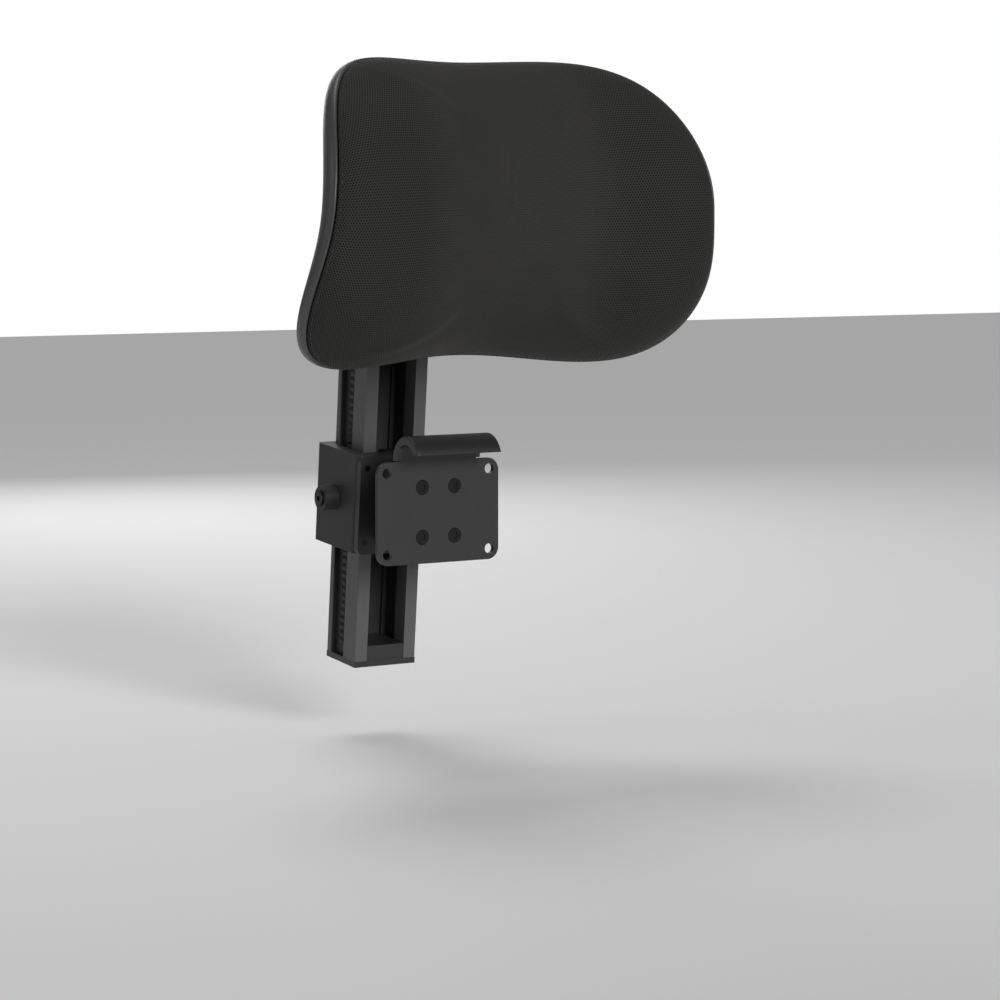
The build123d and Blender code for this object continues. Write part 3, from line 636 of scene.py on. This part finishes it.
def drape(u, z, rho):
    """How far the face stands out from its plain form: the wings' dished panels and the folds."""
    c = settings()
    flare_start, flare_run, flare_reach = 0.055, 0.025, 0.020
    fold_start, fold_run, fold_offset = 0.030, 0.040, 0.002
    flare = np.clip((np.abs(z) - flare_start) / flare_run, 0, 2)
    across = np.abs(u) - c.wing_line - flare_reach * flare ** 2
    ends = np.clip((np.abs(z) - fold_start) / fold_run, 0, 1)
    ends = ends * ends * (3 - 2 * ends)
    dish = c.wing_dish * (0.5 + 0.5 * np.tanh(across / c.dish_blend))
    fold = c.fold_height * ends * np.exp(-((across + fold_offset) / c.fold_width) ** 2)
    return (fold - dish) * np.clip(1 - rho[:, None] ** 12, 0, 1)


def ring_mesh(rings, ends):
    """Vertices and faces from rings of points, closed by a centre point at each (ring, centre, flip)."""
    count = rings.shape[1]
    faces = []
    for k in range(rings.shape[0] - 1):
        for i in range(count):
            j = (i + 1) % count
            faces.append((k * count + i, (k + 1) * count + i, (k + 1) * count + j, k * count + j))
    points = rings.reshape(-1, 3).tolist()
    for ring, centre, flip in ends:
        hub = len(points)
        points.append(list(centre))
        for i in range(count):
            j = (i + 1) % count
            face = (hub, ring * count + i, ring * count + j)
            faces.append(face[::-1] if flip else face)
    return points, faces


def mesh_object(name, points, faces, material=None):
    mesh = bpy.data.meshes.new(name)
    mesh.from_pydata([tuple(p) for p in points], [], faces)
    mesh.update()
    if material:
        mesh.materials.append(material)
    mesh.polygons.foreach_set("use_smooth", [True] * len(mesh.polygons))
    return placed(name, mesh)


def outward_normals(thing):
    """Turns every face of a closed mesh outwards."""
    shape = bmesh.new()
    shape.from_mesh(thing.data)
    bmesh.ops.recalc_face_normals(shape, faces=shape.faces)
    shape.to_mesh(thing.data)
    shape.free()


def ring_shares(count):
    """Shares of the outline for rings that lie closer together towards the edge."""
    return np.sin(np.linspace(0, 1, count + 1) * np.pi / 2)[1:]


def hub(offset):
    """The point in the cushion's middle, that far in front of the mid surface."""
    return pad_points(np.zeros(1), np.zeros(1), np.array([offset]))[0]


def cover_rings(around, deep):
    """Rings of the cover from its face's centre to the seam, and on to a flat back inside the shell."""
    c = settings()
    rho, psi = ring_shares(deep), even_angles(around)
    u, z = ring_places(rho, psi, c.cover_inset)
    face = pad_points(u, z, c.seam_gap + c.front_depth * depth_share(rho, u) + drape(u, z, rho))
    back_inset, back_offset = c.cover_inset + 0.002, c.seam_gap - 0.0004
    u_back, z_back = ring_places(rho[::-1][1:], psi, back_inset)
    back = pad_points(u_back, z_back, np.full_like(u_back, back_offset))
    rings = np.concatenate([face, back])
    ends = [(0, hub(c.seam_gap + c.front_depth), False), (len(rings) - 1, hub(back_offset), True)]
    return rings, ends, len(face)


def blow_up(rings, ends, face_count, limit):
    """Blows the pad up with Blender's cloth while its seam is held, and gives how far the face moved,
    as a row for its centre and one for each of its rings."""
    points, faces = ring_mesh(rings, ends)
    thing = mesh_object("cover_form", points, faces)
    outward_normals(thing)
    around = rings.shape[1]
    held = list(range((face_count - 2) * around, len(rings) * around)) + [len(points) - 1]
    group = thing.vertex_groups.new(name="seam")
    group.add(held, 1.0, "REPLACE")
    cloth = thing.modifiers.new("cloth", "CLOTH")
    for setting, value in CLOTH.items():
        setattr(cloth.settings, setting, value)
    cloth.settings.effector_weights.gravity = 0.0
    cloth.point_cache.frame_start = 1
    cloth.point_cache.frame_end = CLOTH_FRAMES
    scene = bpy.context.scene
    for number in range(1, CLOTH_FRAMES + 1):
        scene.frame_set(number)
    blown = thing.evaluated_get(bpy.context.evaluated_depsgraph_get()).to_mesh()
    moved = vertex_places(blown) - np.array(points)
    scene.frame_set(1)
    bpy.data.objects.remove(thing)
    size = np.linalg.norm(moved, axis=1, keepdims=True)
    print("cloth moved up to", round(float(size.max()) / MM, 2), "mm")
    moved *= limit * np.tanh(size / limit) / np.maximum(size, 1e-9)
    centre = np.repeat(moved[-2][None, None], around, axis=1)
    face = moved[:face_count * around].reshape(face_count, around, 3)
    return np.concatenate([centre, face])


def read_between(values, places, closed):
    """Values read smoothly along their first axis at fractional places."""
    base = np.floor(places).astype(int)
    part = (places - base).reshape(-1, *[1] * (values.ndim - 1))

    def take(step):
        index = base + step
        return values[index % len(values) if closed else np.clip(index, 0, len(values) - 1)]

    before, low, high, after = (take(step) for step in (-1, 0, 1, 2))
    bend = 2 * before - 5 * low + 4 * high - after
    return low + 0.5 * part * (high - before + part * (bend + part * (3 * (low - high) + after - before)))


def finer_rings(values, rows, around):
    """Values on a centre row and coarse rings, read at the rings of a finer mesh of the same face."""
    coarse_rows, coarse_around = len(values) - 1, values.shape[1]
    opposite = np.roll(values[1:2], coarse_around // 2, axis=1)
    padded = np.concatenate([opposite, values])
    places = 1 + np.arange(1, rows + 1) * coarse_rows / rows
    by_row = read_between(padded, places, False)
    turned = read_between(by_row.swapaxes(0, 1), np.arange(around) * coarse_around / around, True)
    return turned.swapaxes(0, 1)


def weave_rings(rings, ends, face_count):
    """Flat coordinates in metres for the cover's face, centre row first, from a low-stretch unwrap."""
    points, faces = ring_mesh(rings[:face_count], ends[:1])
    flat = mesh_object("cover_pattern", points, faces)
    flat.data.uv_layers.new(name="weave")
    bpy.context.view_layer.objects.active = flat
    flat.select_set(True)
    bpy.ops.object.mode_set(mode="EDIT")
    bpy.ops.mesh.select_all(action="SELECT")
    bpy.ops.uv.unwrap(method="MINIMUM_STRETCH", iterations=20, margin=0.0)
    bpy.ops.object.mode_set(mode="OBJECT")
    mesh = flat.data
    values = np.empty(len(mesh.loops) * 2)
    mesh.uv_layers["weave"].data.foreach_get("uv", values)
    uv = np.empty((len(points), 2))
    uv[loop_vertices(mesh)] = values.reshape(-1, 2)
    solid = sum(face.area for face in mesh.polygons)
    corners = uv[[list(face.vertices) for face in mesh.polygons if len(face.vertices) == 4]]
    across, up = corners[:, 2] - corners[:, 0], corners[:, 3] - corners[:, 1]
    patch = np.abs(across[:, 0] * up[:, 1] - across[:, 1] * up[:, 0]).sum() / 2
    around = rings.shape[1]
    rim = uv[(face_count - 1) * around:-1]
    lean = math.atan2(*(rim[around // 4] - rim[3 * around // 4]))
    turn = np.array([[math.cos(lean), -math.sin(lean)], [math.sin(lean), math.cos(lean)]])
    uv = (uv - uv[-1]) @ turn.T * math.sqrt(solid / patch)
    bpy.data.objects.remove(flat)
    centre = np.zeros((1, around, 2))
    return np.concatenate([centre, uv[:-1].reshape(face_count, around, 2)])


def set_weave(thing, weave, rows, around):
    """Lays the flat coordinates on the cover's face; the hidden back takes those of the seam."""
    mesh = thing.data
    values = np.zeros((len(mesh.vertices), 2))
    fine = finer_rings(weave, rows, around)
    values[:rows * around] = fine.reshape(-1, 2)
    values[rows * around:-2] = np.resize(fine[-1], (len(values) - 2 - rows * around, 2))
    layer = mesh.uv_layers.new(name="weave")
    layer.data.foreach_set("uv", values[loop_vertices(mesh)].reshape(-1))


class HEADREST_OT_cover(bpy.types.Operator):
    """Builds the fabric cover over the foam, blown up with cloth"""
    bl_idname = "headrest.cover"
    bl_label = "Fabric Cover"

    def execute(self, context):
        around = FINE_RINGS[0]
        rings, ends, face_count = cover_rings(*FINE_RINGS)
        start, start_ends, count = cover_rings(*COARSE_RINGS)
        moved = blow_up(start, start_ends, count, settings().swell)
        rings[:face_count] += finer_rings(moved, face_count, around)
        ends[0] = (0, ends[0][1] + moved[0, 0], False)
        points, faces = ring_mesh(rings, ends)
        cover = mesh_object("cushion_cover", points, faces, knitted_mesh())
        outward_normals(cover)
        set_weave(cover, weave_rings(start, start_ends, count), face_count, around)
        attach(cover, "headrest")
        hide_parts("cover_fabric", "foam_pad")
        self.stitch(rings[:face_count])
        return {"FINISHED"}

    def stitch(self, face):
        """Sews a row of stitches round the rolled edge, a little way in from the seam."""
        fabric = bpy.context.scene.headrest_fabric
        run = face[::-1]
        gone = np.linalg.norm(np.diff(run, axis=0), axis=2)
        gone = np.concatenate([np.zeros((1, gone.shape[1])), np.cumsum(gone, axis=0)])
        line = [[np.interp(fabric.stitch_inset, gone[:, k], run[:, k, axis]) for axis in range(3)]
                for k in range(run.shape[1])]
        path = bpy.data.meshes.new("seam_line")
        path.from_pydata(line, [(k, (k + 1) % len(line)) for k in range(len(line))], [])
        stitches = grown_mesh("seam_stitches", placed("seam_line", path), stitch_tree(), {
            "Pitch": fabric.stitch_pitch, "Stitch Length": fabric.stitch_length,
            "Thread Radius": fabric.thread_radius, "Material": sewing_thread()})
        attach(stitches, "headrest")


class HEADREST_OT_shell(bpy.types.Operator):
    """Builds the moulded back shell with its rim and bosses"""
    bl_idname = "headrest.shell"
    bl_label = "Back Shell"

    def execute(self, context):
        c = settings()
        rho, psi = ring_shares(SHELL_RINGS), even_angles(FINE_RINGS[0])
        sides = []
        for inset in (0.0, c.shell_wall):
            u, z = ring_places(rho, psi, inset)
            sides.append(pad_points(u, z, -(c.back_depth - inset) * depth_share(rho, u)))
        rings = np.concatenate([sides[0], sides[1][::-1]])
        points, faces = ring_mesh(rings, [(0, hub(-c.back_depth), False),
                                          (len(rings) - 1, hub(c.shell_wall - c.back_depth), True)])
        for boss_points, boss_faces in self.bosses():
            faces += [tuple(len(points) + k for k in face) for face in boss_faces]
            points += boss_points
        plastic = moulded_plastic("satin_moulded_polypropylene", "383838", "404040", 0.4)
        shell = mesh_object("back_shell_moulding", points, faces, plastic)
        outward_normals(shell)
        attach(shell, "headrest")
        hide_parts("back_shell")
        return {"FINISHED"}

    def bosses(self):
        """Round bosses with a flared root, from the shell's wall to the head plate."""
        c = settings()
        plate_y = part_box("head_plate")[0].y
        turn = np.linspace(0, 2 * np.pi, BOSS_SIDES, endpoint=False)
        for solid in separate_solids("head_plate_screws"):
            x, z = (solid[:, [0, 2]].min(0) + solid[:, [0, 2]].max(0)) / 2
            u, level = np.array([[abs(x)]]), np.array([[z - PIVOT.z]])
            depth = c.back_depth * depth_share(np.array([BOSS_RING]), u)
            root_y = pad_points(u, level, -depth)[0, 0, 1]
            sunk_y = root_y - 0.5 * c.shell_wall
            profile = [(0.0070, plate_y), (0.0075, plate_y - 0.0005), (0.0075, root_y + 0.0025),
                       (0.0080, root_y + 0.0012), (0.0095, root_y), (0.0095, sunk_y)]
            rings = np.array([[(x + r * math.cos(t), y, z + r * math.sin(t)) for t in turn]
                              for r, y in profile])
            yield ring_mesh(rings, [(0, (x, plate_y, z), False), (len(profile) - 1, (x, sunk_y, z), True)])


class HEADREST_OT_finishes(bpy.types.Operator):
    """Gives every machined, moulded and pressed part its finish"""
    bl_idname = "headrest.finishes"
    bl_label = "Part Finishes"

    def execute(self, context):
        finishes = {
            powder_coat("matt_powder_coated_steel", "1C1C1D", "242425"): ("hook_plate", "head_plate"),
            powder_coat("powder_coated_die_casting", "1F1F20", "282829"): ("standoff_arm", "stem_head"),
            moulded_plastic("moulded_abs_cover", "222222", "282828", 0.38): (
                "hook_cover", "stem_foot_cap", "stem_top_cap"),
            moulded_plastic("glass_filled_nylon", "202020", "272727", 0.55, 0.5, 0.3): (
                "collar_front", "collar_rear"),
            moulded_plastic("machined_acetal", "0F0F0F", "151515", 0.55, 0.8, 0.08): (
                "slide_block", "guide_shoe_left", "guide_shoe_right", "detent_plunger_left",
                "detent_plunger_right", "rack_left", "rack_right"),
            moulded_plastic("moulded_polypropylene_panel", "2C2C2C", "343434", 0.6): ("carrier_panel",),
            moulded_plastic("nitrile_rubber", "131313", "181818", 0.8, 0.6, 0.3): ("hook_pad",),
            anodised_aluminium(): ("stem_rail",),
            bare_metal("blackened_steel", "303031", "3B3B3C", 0.38): (
                "pivot_bolt", "pivot_nut", "friction_washers", "plunger_cap_left", "plunger_cap_right"),
            bare_metal("machined_brass", "8F6D35", "A98243", 0.3): ("threaded_inserts",),
        }
        for material, names in finishes.items():
            for name in names:
                slots = frame["nodes"][name].data.materials
                slots.clear()
                slots.append(material)
        return {"FINISHED"}


class HEADREST_OT_fasteners(bpy.types.Operator):
    """Sets socket screws and coil springs where the frame's plain ones are"""
    bl_idname = "headrest.fasteners"
    bl_label = "Screws And Springs"

    def execute(self, context):
        steel = bare_metal("blackened_alloy_steel", "2C2C2D", "38383A", 0.36)
        screws = screw_tree()
        bodies = {"plate_screws": "bracket", "collar_screws": "bracket", "block_screws": "bracket",
                  "foot_cap_screws": "stem", "stem_head_screws": "stem", "head_plate_screws": "headrest",
                  "shell_screws": "headrest"}
        for node, body in bodies.items():
            self.set_screws(context.scene.headrest_hardware, screws, steel, node, body)
        springs = spring_tree()
        wire = bare_metal("drawn_spring_steel", "8A8A88", "9C9C9A", 0.28)
        for side in ("left", "right"):
            self.set_spring(context.scene.headrest_hardware, springs, wire, side)
        return {"FINISHED"}

    def set_screws(self, hardware, tree, steel, node, body):
        found = [measure_screw(points) for points in separate_solids(node)]
        one = found[0]
        seats = bpy.data.meshes.new(node + "_seats")
        seats.from_pydata([screw["top"] - screw["axis"] * screw["height"] for screw in found], [], [])
        axes = seats.attributes.new("axis", "FLOAT_VECTOR", "POINT")
        axes.data.foreach_set("vector", np.concatenate([screw["axis"] for screw in found]))
        base = placed(node + "_seats", seats)
        screws = grown_mesh(node.replace("screws", "socket_screws"), base, tree, {
            "Head Radius": one["head"], "Under Radius": one["under"], "Head Height": one["height"],
            "Chamfer": min(hardware.head_chamfer, hardware.chamfer_limit * one["height"]),
            "Shank Radius": one["shank"],
            "Shank Length": one["length"] - one["height"],
            "Socket Radius": hardware.socket_share * one["head"], "Material": steel})
        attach(screws, body)
        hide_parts(node)

    def set_spring(self, hardware, tree, wire, side):
        node = "detent_spring_" + side
        low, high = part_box(node)
        radius = (high.z - low.z) / 2 - hardware.wire_radius
        start = Vector((low.x + hardware.wire_radius, (low.y + high.y) / 2, (low.z + high.z) / 2))
        base = mesh_object(node + "_start", [start], [])
        spring = grown_mesh("detent_coil_" + side, base, tree, {
            "Turns": hardware.coil_turns, "Coil Radius": radius, "Wire Radius": hardware.wire_radius,
            "Length": high.x - low.x - 2 * hardware.wire_radius, "Start": start, "Material": wire})
        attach(spring, "bracket")
        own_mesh(spring)
        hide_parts(node)


class HEADREST_OT_stage(bpy.types.Operator):
    """Sets the floor, the soft lights and the camera"""
    bl_idname = "headrest.stage"
    bl_label = "Studio"

    def execute(self, context):
        scene = context.scene
        studio = scene.headrest_studio
        scene.view_settings.view_transform = "Standard"
        world = bpy.data.worlds.new("studio")
        world.use_nodes = True
        world.node_tree.nodes.clear()
        rays = add(world.node_tree, "ShaderNodeLightPath")
        strength = add(world.node_tree, "ShaderNodeMapRange", {
            "Value": rays.outputs["Is Camera Ray"], "To Min": studio.ambient, "To Max": 1.0})
        sky = add(world.node_tree, "ShaderNodeBackground", {
            "Color": (1, 1, 1, 1), "Strength": strength})
        add(world.node_tree, "ShaderNodeOutputWorld", {"Surface": sky})
        scene.world = world
        paper, tree = new_material("pale_floor")
        finish_material(tree, add(tree, "ShaderNodeBsdfPrincipled", {
            "Base Color": linear("FAFAFA"), "Roughness": 0.9, "Specular IOR Level": 0.0}))
        reach, level = studio.floor_reach, cad_bounds[0][2] - studio.floor_drop
        corners = [(x * reach, y * reach, level) for x, y in ((-1, -1), (1, -1), (1, 1), (-1, 1))]
        floor = mesh_object("floor", corners, [(0, 1, 2, 3)], paper)
        sun = bpy.data.lights.new("frontal_key", "SUN")
        sun.energy = studio.key_power
        sun.angle = studio.key_spread
        key_direction = Vector((0.06, 0.95, -0.30))
        placed("frontal_key", sun).rotation_euler = key_direction.to_track_quat("-Z", "Y").to_euler()
        lit_point = Vector((0, -0.05, 0.15))
        for name, place, power in (("top_softbox", (0.0, 0.5, 1.6), studio.top_power),
                                   ("left_softbox", (-1.5, 0.7, 0.7), studio.side_power),
                                   ("rear_softbox", (0.5, 1.8, 0.7), studio.rear_power)):
            lamp = bpy.data.lights.new(name, "AREA")
            lamp.size = studio.softbox_size
            lamp.energy = power
            holder = placed(name, lamp)
            holder.location = place
            holder.rotation_euler = (lit_point - Vector(place)).to_track_quat("-Z", "Y").to_euler()
        self.place_camera(scene, studio)
        return {"FINISHED"}

    def place_camera(self, scene, studio):
        """The camera looks at a point given from the tilt pivot."""
        a, e = studio.azimuth, studio.elevation
        back = Vector((math.sin(a) * math.cos(e), -math.cos(a) * math.cos(e), math.sin(e)))
        right = Vector((math.cos(a), math.sin(a), 0))
        up = back.cross(right)
        aim = PIVOT + right * studio.aim_right + up * studio.aim_up
        data = bpy.data.cameras.new("camera")
        data.sensor_width = SENSOR_WIDTH
        data.lens = SENSOR_WIDTH * studio.distance / studio.frame_height
        camera = placed("camera", data)
        turn = Matrix((right, up, back)).transposed().to_4x4()
        camera.matrix_world = Matrix.Translation(aim + back * studio.distance) @ turn
        scene.camera = camera


class HEADREST_PT_panel(bpy.types.Panel):
    """Headrest tools in the sidebar"""
    bl_label = "Headrest"
    bl_idname = "HEADREST_PT_panel"
    bl_space_type = "VIEW_3D"
    bl_region_type = "UI"
    bl_category = "Headrest"

    def draw(self, context):
        for step in STEPS:
            self.layout.operator(step.bl_idname)


GROUPS = {
    "headrest_cushion": CushionSettings,
    "headrest_fabric": FabricSettings,
    "headrest_hardware": HardwareSettings,
    "headrest_studio": StudioSettings,
}
STEPS = (HEADREST_OT_stage, HEADREST_OT_finishes, HEADREST_OT_fasteners, HEADREST_OT_shell, HEADREST_OT_cover)


def register():
    for name, group in GROUPS.items():
        bpy.utils.register_class(group)
        setattr(bpy.types.Scene, name, bpy.props.PointerProperty(type=group))
    for kind in (*STEPS, HEADREST_PT_panel):
        bpy.utils.register_class(kind)


def unregister():
    for kind in (HEADREST_PT_panel, *reversed(STEPS)):
        bpy.utils.unregister_class(kind)
    for name, group in reversed(GROUPS.items()):
        delattr(bpy.types.Scene, name)
        bpy.utils.unregister_class(group)


def main():
    register()
    bpy.ops.headrest.stage()
    bpy.ops.headrest.finishes()
    bpy.ops.headrest.fasteners()
    bpy.ops.headrest.shell()
    bpy.ops.headrest.cover()


if __name__ == "__main__":
    main()
